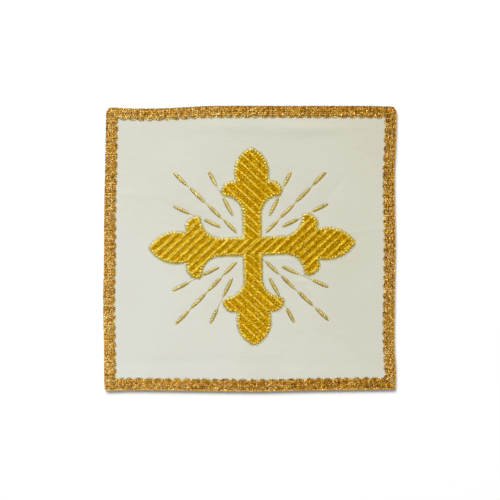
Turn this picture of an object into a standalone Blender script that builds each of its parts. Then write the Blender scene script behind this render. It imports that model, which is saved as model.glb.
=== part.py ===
"""Chalice pall: a stiffened square of cream cloth that covers a chalice.

A gold braid with a scalloped inner edge is sewn round the face, and a gold cross with budded
arms and rays of seed stitches is embroidered in the middle. It lies flat, face up.
Metres, +Z up, with the origin under the middle of the square.
"""

import math

import bmesh
import bpy
from mathutils import Matrix, Vector

MM = 0.001

# Cloth square, measured over the braid
PALL_WIDTH = 160.0 * MM
PALL_DEPTH = 156.4 * MM
CLOTH_THICKNESS = 2.4 * MM
CLOTH_EDGE_RADIUS = 0.7 * MM
CLOTH_INSIDE_BRAID = 0.4 * MM
CLOTH_LEAST_CORNER = 0.2 * MM
CLOTH_STATIONS = 14

# Thread and braid stand this far off the cloth
CLEARANCE = 0.3 * MM

# Braid
BRAID_WIDTH = 6.1 * MM
BRAID_EDGE_HEIGHT = 0.45 * MM
BRAID_CREST_HEIGHT = 0.9 * MM
BRAID_LUMP = 0.2 * MM
BRAID_SWAY = 1.0 * MM
SCALLOP_DEPTH = 0.6 * MM
OUTER_WAVE = 0.12 * MM
SCALLOPS_PER_SIDE = 31
STATIONS_PER_SCALLOP = 3
BRAID_INNER_CORNER = 0.5 * MM
CORNER_STEPS = 4

# The edge isn't quite straight. For each side, going round anticlockwise:
# place along the side (-1 at its start, 1 at its end), stray outwards in millimetres
EDGE_STRAY = {
    "front": ((-0.95, 0.35), (-0.84, 0.0), (-0.57, 0.15), (-0.25, 0.45),
              (0.04, 0.7), (0.43, 0.1), (0.7, -0.2), (0.97, -0.5)),
    "right": ((-0.92, 0.5), (-0.82, 0.5), (-0.73, 0.0), (-0.6, -0.2), (-0.26, 0.1),
              (0.03, 0.4), (0.28, 0.1), (0.54, -0.1), (0.72, 0.6), (0.96, 1.1)),
    "back": ((-0.96, 0.2), (-0.8, 0.5), (-0.25, 0.55), (0.28, 0.5),
             (0.48, -0.35), (0.71, -1.0), (0.95, -0.4)),
    "left": ((-0.96, -0.8), (-0.58, -0.3), (-0.26, 0.2), (0.13, 0.4),
             (0.36, 0.8), (0.64, 0.45), (0.92, 0.2)),
}

# side, outward direction, half the square's size that way, radius of the corner at its end
SIDES = (
    ("front", Vector((0, -1)), PALL_DEPTH / 2, 0.8 * MM),
    ("right", Vector((1, 0)), PALL_WIDTH / 2, 2.4 * MM),
    ("back", Vector((0, 1)), PALL_DEPTH / 2, 2.2 * MM),
    ("left", Vector((-1, 0)), PALL_WIDTH / 2, 1.9 * MM),
)

# Cross, in its own frame: each arm runs along +Y from the middle
CROSS_CENTRE = Vector((1.4, 1.1)) * MM
ARM_HALF_WIDTH = 5.2 * MM
CURL_RADIUS = 10.5 * MM
LOBE_CENTRE = Vector((10.75, 30.2)) * MM
LOBE_TIP_RADIUS = 1.95 * MM
LOBE_TIP_DIRECTION = math.radians(-3)
NOTCH_RADIUS = 0.4 * MM
LEAF_TIP_RADIUS = 1.95 * MM
ARC_STEP = math.radians(17)
CUT_TOLERANCE = 0.01 * MM

# An arm's direction and its lean from it in degrees, then in millimetres the radius of its
# side lobes, its leaf's half width, and the radius and the middle of the leaf's sides
ARMS = (
    (0, 2.3, 6.6, 9.1, 18.4, 41.4),
    (90, 0.6, 6.1, 9.6, 14.9, 40.8),
    (180, 0.9, 6.6, 9.1, 18.6, 41.6),
    (270, 1.3, 6.1, 9.6, 14.9, 40.8),
)

# Satin rim and the ribs of the filling
CROSS_EDGE_HEIGHT = 0.35 * MM
RIM_WIDTH = 1.85 * MM
RIM_HEIGHT = 1.0 * MM
RIB_LOW = 0.5 * MM
RIB_HIGH = 0.9 * MM
# direction of the ribs, their spacing, and how far past the middle of the cross a ridge runs
UPRIGHT_RIBS = (math.radians(-43), 3.8 * MM, -0.8 * MM)
LEVEL_RIBS = (math.radians(43), 3.7 * MM, 0.7 * MM)

# Rays of seed stitches
SEED_HALF_WIDTH = 0.87 * MM
SEED_FLATNESS = 0.34
THREAD_SHARE = 0.22
# quarter, ray, then its inner and outer ends in millimetres from the middle of the cross
RAYS = (
    ("back_right", "level", (16.8, 11.0), (41.5, 23.7)),
    ("back_right", "middle", (7.5, 7.9), (40.4, 41.2)),
    ("back_right", "upright", (9.5, 17.2), (21.2, 41.3)),
    ("back_left", "upright", (-10.8, 17.2), (-24.2, 41.4)),
    ("back_left", "middle", (-8.6, 7.8), (-43.6, 40.9)),
    ("back_left", "level", (-17.7, 10.9), (-43.6, 22.2)),
    ("front_left", "level", (-18.5, -11.2), (-44.0, -24.3)),
    ("front_left", "middle", (-8.9, -8.4), (-42.2, -42.6)),
    ("front_left", "upright", (-11.2, -17.4), (-23.2, -42.3)),
    ("front_right", "upright", (9.3, -17.3), (23.1, -41.7)),
    ("front_right", "middle", (7.5, -8.4), (42.2, -40.6)),
    ("front_right", "level", (16.3, -11.0), (41.8, -22.2)),
)
# Seeds of a ray, as shares of its length. A side ray's thread dips under the cross between
# its two seeds, so each is a run of its own.
RUNS = {
    "middle": (((0.0, 0.195), (0.25, 0.46), (0.51, 0.74), (0.79, 1.0)),),
    "upright": (((0.0, 0.4),), ((0.68, 1.0),)),
    "level": (((0.0, 0.345),), ((0.66, 1.0),)),
}
# place along a seed, half width there as a share of the widest
SEED_PROFILE = ((0.0, THREAD_SHARE), (0.14, 0.62), (0.36, 1.0), (0.64, 1.0), (0.86, 0.62),
                (1.0, THREAD_SHARE))

# name, linear colour, roughness, metallic
FINISHES = {
    "cream_cloth": ((0.69, 0.67, 0.575, 1.0), 0.85, 0.0),
    "braid_gold": ((0.43, 0.23, 0.055, 1.0), 0.4, 0.8),
    "embroidery_gold": ((0.53, 0.31, 0.02, 1.0), 0.38, 0.8),
    "ray_gold": ((0.66, 0.46, 0.08, 1.0), 0.4, 0.7),
}


def clear_scene():
    for old in list(bpy.data.objects):
        bpy.data.objects.remove(old, do_unlink=True)


def new_material(name):
    color, roughness, metallic = FINISHES[name]
    material = bpy.data.materials.new(name)
    material.use_nodes = True
    shader = material.node_tree.nodes["Principled BSDF"]
    shader.inputs["Base Color"].default_value = color
    shader.inputs["Roughness"].default_value = roughness
    shader.inputs["Metallic"].default_value = metallic
    return material


def add_part(collection, name, data, material):
    """Link a named object with its own material; its place is in its points."""
    part = bpy.data.objects.new(name, data)
    part.data.materials.append(material)
    collection.objects.link(part)
    return part


def mesh_from(bm, name):
    bmesh.ops.recalc_face_normals(bm, faces=bm.faces)
    bmesh.ops.triangulate(bm, faces=bm.faces)
    mesh = bpy.data.meshes.new(name)
    bm.to_mesh(mesh)
    bm.free()
    return mesh


def direction(angle):
    return Vector((math.cos(angle), math.sin(angle)))


def stray(side, place):
    """How far a side strays outwards at a place along it, on a smooth curve through its table."""
    table = EDGE_STRAY[side]
    if place <= table[0][0]:
        return table[0][1] * MM
    if place >= table[-1][0]:
        return table[-1][1] * MM
    k = next(i for i in range(len(table) - 1) if place <= table[i + 1][0])
    before, after = table[max(k - 1, 0)], table[min(k + 2, len(table) - 1)]
    (x0, y0), (x1, y1) = table[k], table[k + 1]
    slope0 = (y1 - before[1]) / (x1 - before[0])
    slope1 = (after[1] - y0) / (after[0] - x0)
    run = x1 - x0
    t = (place - x0) / run
    rise = t * t * (3 - 2 * t)
    bend = run * (slope0 * t * (1 - t) ** 2 - slope1 * t * t * (1 - t))
    return (y0 + (y1 - y0) * rise + bend) * MM


def side_reach(index, end):
    """How far out from the middle a side is at one of its ends (-1 or 1)."""
    name, _, half, _ = SIDES[index % 4]
    return half + stray(name, end)


def side_points(index, inset, stations, corner_radii):
    """Points along one side, from its start corner's arc to its end corner's arc.

    inset is a function of how far along the side a point is, from 0 to 1.
    """
    name, outward, half, _ = SIDES[index]
    along = SIDES[(index + 1) % 4][1]
    start = side_reach(index - 1, 1) - inset(0) - corner_radii[index - 1]
    end = side_reach(index + 1, -1) - inset(1) - corner_radii[index]
    points = []
    for i in range(stations + 1):
        share = i / stations
        x = -start + (start + end) * share
        y = half + stray(name, x / side_reach(index + 1, -1)) - inset(share)
        points.append(along * x + outward * y)
    return points


def corner_points(index, before, after):
    """Points of the round corner that follows a side, without its two ends."""
    outward = SIDES[index][1]
    along = SIDES[(index + 1) % 4][1]
    centre = along * before.dot(along) + outward * after.dot(outward)
    reach_out = before.dot(outward) - centre.dot(outward)
    reach_along = after.dot(along) - centre.dot(along)
    points = []
    for i in range(1, CORNER_STEPS):
        turn = math.pi / 2 * i / CORNER_STEPS
        out = outward * reach_out * math.cos(turn)
        points.append(centre + out + along * reach_along * math.sin(turn))
    return points


def edge_path(inset, stations, corner_radii):
    """The square's closed outline, drawn in by an inset that may vary along each side."""
    sides = [side_points(i, inset, stations, corner_radii) for i in range(4)]
    path = []
    for i in range(4):
        path += sides[i]
        path += corner_points(i, sides[i][-1], sides[(i + 1) % 4][0])
    return path


def outline_centre():
    """Middle of the box round the outer edge, which the model's origin sits under."""
    path = edge_path(outer_wave, SCALLOPS_PER_SIDE * STATIONS_PER_SCALLOP, outer_radii())
    xs = [p.x for p in path]
    ys = [p.y for p in path]
    return Vector(((min(xs) + max(xs)) / 2, (min(ys) + max(ys)) / 2))


def outer_radii():
    return [side[3] for side in SIDES]


def scallop_phase(share):
    return math.pi * share * SCALLOPS_PER_SIDE


def outer_wave(share):
    return OUTER_WAVE * math.sin(scallop_phase(share)) ** 2


def inner_scallops(share):
    return BRAID_WIDTH + SCALLOP_DEPTH * (abs(math.sin(scallop_phase(share))) - 0.5)


def crest_sway(share):
    return BRAID_WIDTH / 2 + BRAID_SWAY * math.sin(scallop_phase(share))


def cloth(collection, centre):
    """The stiffened square: one flat piece with round edges."""
    inset = CLOTH_INSIDE_BRAID + CLOTH_EDGE_RADIUS
    radii = [max(radius - inset, CLOTH_LEAST_CORNER) for radius in outer_radii()]
    path = edge_path(lambda share: inset, CLOTH_STATIONS, radii)
    curve = bpy.data.curves.new("cloth", "CURVE")
    curve.dimensions = "2D"
    curve.fill_mode = "BOTH"
    curve.extrude = CLOTH_THICKNESS / 2 - CLOTH_EDGE_RADIUS
    curve.bevel_depth = CLOTH_EDGE_RADIUS
    curve.bevel_resolution = 1
    spline = curve.splines.new("POLY")
    spline.points.add(len(path) - 1)
    for point, place in zip(spline.points, path):
        point.co = (*(place - centre), 0, 1)
    spline.use_cyclic_u = True
    part = add_part(collection, "cloth", curve, new_material("cream_cloth"))
    part.location.z = CLOTH_THICKNESS / 2


def braid(collection, centre):
    """One length of braid round the edge: a loft through five closed rows of points."""
    stations = SCALLOPS_PER_SIDE * STATIONS_PER_SCALLOP
    inner_radii = [BRAID_INNER_CORNER] * 4
    outer = edge_path(outer_wave, stations, outer_radii())
    crest = edge_path(crest_sway, stations, inner_radii)
    inner = edge_path(inner_scallops, stations, inner_radii)
    base = CLOTH_THICKNESS + CLEARANCE
    edge = base + BRAID_EDGE_HEIGHT
    top = base + BRAID_CREST_HEIGHT
    per_side = stations + CORNER_STEPS
    bm = bmesh.new()
    rows = []
    for path, height in ((outer, base), (outer, edge), (crest, top), (inner, edge), (inner, base)):
        row = []
        for i, place in enumerate(path):
            share = min((i % per_side) / stations, 1)
            dip = BRAID_LUMP * math.cos(scallop_phase(share)) ** 2 if path is crest else 0
            row.append(bm.verts.new((*(place - centre), height - dip)))
        rows.append(row)
    for row, following in zip(rows, rows[1:] + rows[:1]):
        for i in range(len(row)):
            j = (i + 1) % len(row)
            bm.faces.new((row[i], row[j], following[j], following[i]))
    add_part(collection, "braid", mesh_from(bm, "braid"), new_material("braid_gold"))


def meeting_point(centre_a, radius_a, centre_b, radius_b):
    """Where two circles meet, on the left of the line from the first centre to the second."""
    line = centre_b - centre_a
    gap = line.length
    along = (gap * gap + radius_a * radius_a - radius_b * radius_b) / (2 * gap)
    across = math.sqrt(radius_a * radius_a - along * along)
    unit = line / gap
    return centre_a + unit * along + Vector((-unit.y, unit.x)) * across


def towards(start, end):
    return math.atan2(end.y - start.y, end.x - start.x)


def arm_arcs(lobe_radius, leaf_half_width, leaf_radius, leaf_middle):
    """Right-hand half of an arm, as arcs that run smoothly into each other.

    Each arc is its centre, radius, first and last angle, and whether it bulges outwards.
    """
    lobe = LOBE_CENTRE
    lobe_tip = lobe + direction(LOBE_TIP_DIRECTION) * (lobe_radius - LOBE_TIP_RADIUS)
    curl_x = ARM_HALF_WIDTH + CURL_RADIUS
    curl_drop = math.sqrt((CURL_RADIUS + LOBE_TIP_RADIUS) ** 2 - (curl_x - lobe_tip.x) ** 2)
    curl = Vector((curl_x, lobe_tip.y - curl_drop))
    leaf = Vector((leaf_half_width - leaf_radius, leaf_middle))
    leaf_tip = Vector((0, leaf.y + math.sqrt((leaf_radius - LEAF_TIP_RADIUS) ** 2 - leaf.x ** 2)))
    notch = meeting_point(leaf, leaf_radius + NOTCH_RADIUS, lobe, lobe_radius + NOTCH_RADIUS)
    return (
        (curl, CURL_RADIUS, math.pi, towards(curl, lobe_tip), False),
        (lobe_tip, LOBE_TIP_RADIUS, towards(lobe_tip, curl), LOBE_TIP_DIRECTION, True),
        (lobe, lobe_radius, LOBE_TIP_DIRECTION, towards(lobe, notch), True),
        (notch, NOTCH_RADIUS, towards(notch, lobe), towards(notch, leaf) - math.tau, False),
        (leaf, leaf_radius, towards(leaf, notch), towards(leaf, leaf_tip), True),
        (leaf_tip, LEAF_TIP_RADIUS, towards(leaf, leaf_tip), math.pi / 2, True),
    )


def half_arm(arcs, inset):
    """Points of the right-hand half of an arm, from the crook between two arms to its tip."""
    points = [Vector((ARM_HALF_WIDTH - inset, ARM_HALF_WIDTH - inset))]
    for i, (centre, radius, first, last, bulges) in enumerate(arcs):
        steps = max(2, math.ceil(abs(last - first) / ARC_STEP))
        reach = radius - inset if bulges else radius + inset
        for step in range(min(i, 1), steps + 1):
            points.append(centre + direction(first + (last - first) * step / steps) * reach)
    return points


def arm_outlines(inset):
    """Outline of each arm, anticlockwise from the crook at its right, drawn in by the inset."""
    outlines = []
    for degrees, lean, *sizes in ARMS:
        right = half_arm(arm_arcs(*(size * MM for size in sizes)), inset)
        left = [Vector((-p.x, p.y)) for p in reversed(right[1:-1])]
        turn = Matrix.Rotation(math.radians(degrees + lean - 90), 2)
        outlines.append([turn @ p for p in right + left])
    return outlines


def cut_faces(bm, faces, point, normal):
    """Cut the given faces along a line, and return those that are left in their place."""
    geometry = list(faces)
    for face in faces:
        geometry += list(face.edges) + list(face.verts)
    result = bmesh.ops.bisect_plane(bm, geom=list(set(geometry)), plane_co=point, plane_no=normal,
                                    dist=CUT_TOLERANCE)
    return [item for item in result["geom"] if isinstance(item, bmesh.types.BMFace)]


def cut_ribs(bm, face, ribs, base):
    """Raise straight ribs across one face of the filling, as ridge and furrow by turns."""
    angle, spacing, ridge = ribs
    normal = Vector((-math.sin(angle), math.cos(angle), 0))
    step = spacing / 2
    places = [(vert.co.dot(normal) - ridge) / step for vert in face.verts]
    faces = [face]
    for i in range(math.ceil(min(places)), math.floor(max(places)) + 1):
        faces = cut_faces(bm, faces, normal * (ridge + step * i), normal)
    for ribbed in faces:
        for vert in ribbed.verts:
            rise = abs((vert.co.dot(normal) - ridge) / step % 2 - 1)
            vert.co.z = base + RIB_LOW + (RIB_HIGH - RIB_LOW) * rise


def cross(collection):
    """The embroidered cross: a satin rim round a filling of slanting ribs."""
    base = CLOTH_THICKNESS + CLEARANCE
    bm = bmesh.new()
    rows = []
    for inset, height in ((0, 0), (0, CROSS_EDGE_HEIGHT), (RIM_WIDTH / 2, RIM_HEIGHT),
                          (RIM_WIDTH, RIB_LOW)):
        arms = arm_outlines(inset)
        rows.append([[bm.verts.new((*place, base + height)) for place in arm] for arm in arms])
    loops = [sum(row, []) for row in rows]
    for loop, following in zip(loops, loops[1:]):
        for i in range(len(loop)):
            j = (i + 1) % len(loop)
            bm.faces.new((loop[i], loop[j], following[j], following[i]))
    bm.faces.new(loops[0][::-1])
    right, top, left, bottom = rows[-1]
    level = bm.faces.new(right + [top[0]] + left + [bottom[0]])
    upright = [bm.faces.new(top + [left[0]]), bm.faces.new(bottom + [right[0]])]
    cut_ribs(bm, level, LEVEL_RIBS, base)
    for face in upright:
        cut_ribs(bm, face, UPRIGHT_RIBS, base)
    bmesh.ops.translate(bm, vec=(*CROSS_CENTRE, 0), verts=bm.verts)
    add_part(collection, "cross", mesh_from(bm, "cross"), new_material("embroidery_gold"))


def thread_run(collection, name, inner, outer, seeds, material):
    """One run of thread along a ray, swelling into each of its seed stitches."""
    stations = []
    for first, last in seeds:
        for share, width in SEED_PROFILE:
            stations.append((first + (last - first) * share, width))
    curve = bpy.data.curves.new(name, "CURVE")
    curve.dimensions = "3D"
    curve.bevel_depth = SEED_HALF_WIDTH
    curve.bevel_resolution = 1
    curve.use_fill_caps = True
    spline = curve.splines.new("POLY")
    spline.points.add(len(stations) - 1)
    for point, (share, width) in zip(spline.points, stations):
        point.co = (*inner.lerp(outer, share), 0, 1)
        point.radius = width
    part = add_part(collection, name, curve, material)
    part.location = (*CROSS_CENTRE, CLOTH_THICKNESS + CLEARANCE + SEED_HALF_WIDTH * SEED_FLATNESS)
    part.scale.z = SEED_FLATNESS


def rays(collection):
    material = new_material("ray_gold")
    for quarter, kind, inner, outer in RAYS:
        for count, seeds in enumerate(RUNS[kind], 1):
            name = f"ray_{quarter}_{kind}_{count}"
            thread_run(collection, name, Vector(inner) * MM, Vector(outer) * MM, seeds, material)


def main():
    clear_scene()
    collection = bpy.data.collections.new("chalice_pall")
    bpy.context.scene.collection.children.link(collection)
    centre = outline_centre()
    cloth(collection, centre)
    braid(collection, centre)
    cross(collection)
    rays(collection)


main()
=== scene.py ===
"""Looks of the chalice pall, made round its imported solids.

The cloth square, the woven braid, the stitches of the cross and the seed stitches of the
rays are meshes worked out from named sizes. Sizes are in millimetres up to mesh_piece().
"""

import cmath
import math

import bpy
import numpy as np
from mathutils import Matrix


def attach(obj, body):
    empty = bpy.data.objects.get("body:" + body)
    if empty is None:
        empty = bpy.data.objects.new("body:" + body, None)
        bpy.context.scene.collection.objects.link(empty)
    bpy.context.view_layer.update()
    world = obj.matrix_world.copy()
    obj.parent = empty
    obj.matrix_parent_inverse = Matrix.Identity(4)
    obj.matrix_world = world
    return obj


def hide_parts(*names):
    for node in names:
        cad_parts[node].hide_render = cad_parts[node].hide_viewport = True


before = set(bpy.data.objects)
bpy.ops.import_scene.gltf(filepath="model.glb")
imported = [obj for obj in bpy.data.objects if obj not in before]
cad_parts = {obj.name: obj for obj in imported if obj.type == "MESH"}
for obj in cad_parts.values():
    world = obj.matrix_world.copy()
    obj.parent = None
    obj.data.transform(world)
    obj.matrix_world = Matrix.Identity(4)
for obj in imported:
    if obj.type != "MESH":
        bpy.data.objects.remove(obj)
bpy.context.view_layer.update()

MM = 0.001
random = np.random.default_rng(11)

# Cloth square, measured over the braid
PALL_WIDTH = 160.0
PALL_DEPTH = 156.4
CLOTH_TOP = 2.4
CLOTH_INSIDE_BRAID = 0.75
CLOTH_EDGE_RADIUS = 1.0
CLOTH_CORNER_RADIUS = 1.6
CLOTH_GRID = 0.95
# how far the cloth's face lies below its solid's, and how far in its folds reach full height
FACE_DROP = 0.06
FOLD_MARGIN = 4.0
# dent that the stitches of a ray draw into the cloth: depth, reach to the sides and past the ends
RAY_DENT = 0.09
RAY_DENT_WIDTH = 1.9
RAY_DENT_END = 2.0

# place along the side (-1 at its start, 1 at its end, anticlockwise), stray outwards
EDGE_STRAY = {
    "front": ((-0.95, 0.35), (-0.84, 0.0), (-0.57, 0.15), (-0.25, 0.45),
              (0.04, 0.7), (0.43, 0.1), (0.7, -0.2), (0.97, -0.5)),
    "right": ((-0.92, 0.5), (-0.82, 0.5), (-0.73, 0.0), (-0.6, -0.2), (-0.26, 0.1),
              (0.03, 0.4), (0.28, 0.1), (0.54, -0.1), (0.72, 0.6), (0.96, 1.1)),
    "back": ((-0.96, 0.2), (-0.8, 0.5), (-0.25, 0.55), (0.28, 0.5),
             (0.48, -0.35), (0.71, -1.0), (0.95, -0.4)),
    "left": ((-0.96, -0.8), (-0.58, -0.3), (-0.26, 0.2), (0.13, 0.4),
             (0.36, 0.8), (0.64, 0.45), (0.92, 0.2)),
}
# side, outward direction, half the square's size that way, radius of the corner at its end
SIDES = (
    ("front", -1j, PALL_DEPTH / 2, 1.4),
    ("right", 1, PALL_WIDTH / 2, 3.3),
    ("back", 1j, PALL_DEPTH / 2, 3.4),
    ("left", -1, PALL_WIDTH / 2, 1.9),
)

# Braid: a narrow weave of metal thread, whose cross threads end in scallops
CROSS_PITCH = 0.5
CROSS_STATIONS = 26
ROW_MARGIN = 0.4
BRAID_START = 0.2
SCALLOP_REACH = 0.9
BRAID_LOW = 0.16
BRAID_CROWN = 0.5
WEAVE_RISE = 0.1
# painted light: cross threads are painted paler where they rise over the lengthwise threads and
# darker where they dip under
WEAVE_PAINTED_LIGHT = 0.12
LENGTHWISE_INSETS = (0.65, 1.75, 2.85, 3.95, 5.05)
LENGTHWISE_PITCH = 1.1
LENGTHWISE_STATIONS = 620
# how the lengthwise threads' shade differs from the side's, and how much it varies
LENGTHWISE_SHADE = (-0.15, 0.13)
# half width and half height of the threads
CROSS_SECTION = (0.28, 0.18)
LENGTHWISE_SECTION = (0.34, 0.13)
FRINGE_SECTION = (0.15, 0.08)
PLY_SECTION = (0.22, 0.2)
CORE_SECTION = (0.45, 0.2)
# how far the cross threads lean from straight, and the inset at which they don't
LEAN = 0.16
LEAN_INSET = 2.5
# length in which a cross thread twists once, from the shortest to the longest
TWIST_LENGTH = (1.0, 1.6)
# for each side: spacing of the lumps, place of one dip, width at a dip, then the shade of the
# thread, which differs by side as painted light, how much it varies, and how far a tip differs
BRAID_SIDES = (
    (5.21, -0.8, 5.85, 0.36, 0.12, -0.4),
    (5.05, 2.0, 5.35, 0.5, 0.55, -0.4),
    (4.85, -1.0, 5.7, 0.52, 0.1, 0.0),
    (4.96, 1.0, 5.6, 0.46, 0.2, -0.35),
)
# for each side: inset of a pale line, inset of a dark one, how strong they are, how much the outer
# edge is painted lighter or darker as painted light, and painted glints for each millimetre
BRAID_LINES = (
    (3.2, 4.4, 0.08, 0.1, 0.4),
    (2.5, 3.9, 0.1, 0.0, 0.8),
    (4.7, 3.3, 0.1, -0.14, 0.4),
    (3.1, 4.3, 0.06, -0.08, 0.4),
)
# how much paler the inner edge is between the lumps, and how wide that shade is
DIP_SHADE = 0.25
TIP_SHADE_WIDTH = 0.9
LINE_WIDTH = 0.6
EDGE_SHADE_WIDTH = 1.4
# radius of a painted glint
PAINTED_GLINT_RADIUS = 0.38
THREAD_GRAIN = 1.1
# painted glints: how much paler a cross thread is painted where its grain rises past a threshold,
# and that threshold
PAINTED_GLINT = 1.2
PAINTED_GLINT_FROM = 0.95
FRINGE_PITCH = 0.45
FRINGE_REACH = 0.7
FRINGE_ROOT = 0.5
FRINGE_SHADE = (1.15, 0.12)
# length at each end of a side that has no fringe
FRINGE_FREE = 7.0
EDGE_CORD_INSET = 0.36
EDGE_CORD_TWIST = 2.7
EDGE_CORD_RADIUS = 0.17
EDGE_CORD_RISE = 0.36
EDGE_CORD_SHADE = 0.42
EDGE_CORD_STATIONS = 560
# dark threads below the weave, their darkness painted shade in its gaps: inset of the first, how
# far the last stays inside, pitch
CORE_START = 0.7
CORE_MARGIN = 0.2
CORE_PITCH = 0.6
CORE_RISE = 0.2
CORE_PAINTED_SHADE = 0.1
CORE_STATIONS = 60
# tucks where the braid is folded at the corners: place, radius, depth; the threads there are
# pressed down and painted darker as shade
TUCKS = (
    (76.8 + 73.1j, 0.8, 0.9),
    (74.6 - 70.9j, 0.8, 0.9),
    (-75.9 - 74.0j, 0.6, 0.4),
)
# how far a tuck as deep as 1 presses the threads down
TUCK_DROP = 0.6

# painted light: metal thread is painted paler to the left and the front, a painted sheen: change of
# shade for each millimetre
PAINTED_LIGHT_DRIFT = -0.0022 - 0.0006j
# the braid's painted light drift from left to right is weaker than the embroidery's
BRAID_PAINTED_LIGHT_DRIFT = 0.001

# Cross, in its own frame
CROSS_CENTRE = 1.4 + 1.1j
ARM_HALF_WIDTH = 5.2
CURL_RADIUS = 10.5
LOBE_CENTRE = 10.75 + 30.2j
LOBE_TIP_RADIUS = 1.95
LOBE_TIP_DIRECTION = math.radians(-3)
NOTCH_RADIUS = 0.4
LEAF_TIP_RADIUS = 1.3
ARC_STEP = math.radians(6)
# direction and lean in degrees, lobe radius, leaf half width, leaf radius, leaf middle
ARMS = (
    (0, 2.3, 6.6, 9.1, 18.4, 41.4),
    (90, 0.6, 6.1, 9.6, 14.9, 40.8),
    (180, 0.9, 6.6, 9.1, 18.6, 41.6),
    (270, 1.3, 6.1, 9.6, 14.9, 40.8),
)
# satin rim: length of one stitch out and back, how far its strokes reach past the outline, then
# how far inside it its middle and its inner edge are
RIM_CYCLE = 1.7
RIM_OUTSIDE = 0.1
RIM_MIDDLE = 0.9
RIM_WIDTH = 1.9
# a stitch's stroke out and its stroke back: where each ends outside and inside as a share of the
# stitch, crest, half width, half height, shade and how much that varies; the stroke out is painted
# paler and the stroke back darker, as painted light
RIM_STROKES = (
    (0.3, 0.0, 0.32, 0.36, 0.18, 0.92, 0.18),
    (0.75, 1.0, 0.28, 0.42, 0.17, 0.68, 0.15),
)
# loose ends round the rim: longest, how many to a stitch, half width and half height, shade and how
# much it varies; their pale shade also paints light over the rim's shadow on the cloth
RIM_FRINGE = 0.8
RIM_ENDS = 3
RIM_END_SECTION = (0.13, 0.06)
RIM_END_PALE_OVER_SHADOW = (1.25, 0.1)
# ground of the filling: threads side by side, in stitches from a shortest to a longest
FILL_INSET = 0.85
FILL_PITCH = 0.42
FILL_SECTION = (0.25, 0.15)
FILL_FIRST_STITCH = (0.9, 2.6)
FILL_STITCH = (1.7, 2.9)
FILL_LAST_STITCH = 0.8
# its height and shade in a groove, then how much more on a ridge; the extra shade on a ridge is
# painted light
FILL_RISE = (0.45, 0.18)
FILL_SHADE_AND_RIDGE_LIGHT = (0.33, 0.25)
# direction of the ribs, their spacing, how far past the middle a ridge runs
UPRIGHT_RIBS = (math.radians(-43), 3.8, -0.8)
LEVEL_RIBS = (math.radians(43), 3.7, 0.7)
# raised stitches: rows beside the middle of a rib, length, pitch, slant, half width
LEVEL_STITCHES = ((-0.34, 0.34), 0.9, 0.66, 0.22, 0.34)
UPRIGHT_STITCHES = ((0.0,), 0.95, 0.72, 0.22, 0.29)
GROOVE_STITCHES = ((0.0,), 1.3, 1.3, 0.1, 0.25)
# share of a row's stitches that is made, and their shade, which is paler than the ground as a
# painted highlight on the ribs
LEVEL_FULLNESS_AND_HIGHLIGHT = (0.9, 0.8)
# the same for the ridges and then the grooves of the top and of the bottom arm
UPRIGHT_FULLNESS_AND_HIGHLIGHT = (
    ((0.84, 0.84), (0.4, 0.5)),
    ((0.78, 0.74), (0.6, 0.5)),
)
RAISED_SHADE_SPREAD = 0.27
RAISED_HIGH = 0.18

# Rays: quarter, ray, inner and outer end from the middle of the cross
RAYS = (
    ("back_right", "level", 16.8 + 11.0j, 41.5 + 23.7j),
    ("back_right", "middle", 7.5 + 7.9j, 40.4 + 41.2j),
    ("back_right", "upright", 9.5 + 17.2j, 21.2 + 41.3j),
    ("back_left", "upright", -10.8 + 17.2j, -24.2 + 41.4j),
    ("back_left", "middle", -8.6 + 7.8j, -43.6 + 40.9j),
    ("back_left", "level", -17.7 + 10.9j, -43.6 + 22.2j),
    ("front_left", "level", -18.5 - 11.2j, -44.0 - 24.3j),
    ("front_left", "middle", -8.9 - 8.4j, -42.2 - 42.6j),
    ("front_left", "upright", -11.2 - 17.4j, -23.2 - 42.3j),
    ("front_right", "upright", 9.3 - 17.3j, 23.1 - 41.7j),
    ("front_right", "middle", 7.5 - 8.4j, 42.2 - 40.6j),
    ("front_right", "level", 16.3 - 11.0j, 41.8 - 22.2j),
)
SEEDS = {
    "middle": ((0.0, 0.195), (0.25, 0.46), (0.51, 0.74), (0.79, 1.0)),
    "upright": ((0.0, 0.4), (0.68, 1.0)),
    "level": ((0.0, 0.345), (0.66, 1.0)),
}
# shares of a ray between which its thread shows, where that isn't the whole ray
THREAD_RUNS = {
    "back_left_level": (0.5, 1.0),
    "front_right_middle": (-0.05, 1.0),
}
# thread under the seeds of a ray: half width, half height, rise over the cloth, shade
THREAD_WIDE = {"middle": 0.17, "upright": 0.14, "level": 0.11}
THREAD_HIGH = 0.1
THREAD_RISE = 0.08
THREAD_SHADE = 0.5
SEED_HALF_WIDTH = 1.0
SEED_PITCH = 0.52
SEED_SLANT = 0.55
# half width and half height of a turn, then its shade and how much that varies
SEED_SECTION = (0.27, 0.16)
SEED_SHADE = (0.58, 0.13)
# painted highlight: every other turn of a seed stitch is painted paler towards its middle, and the
# turns between darker
SEED_SHEEN = 0.34

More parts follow.
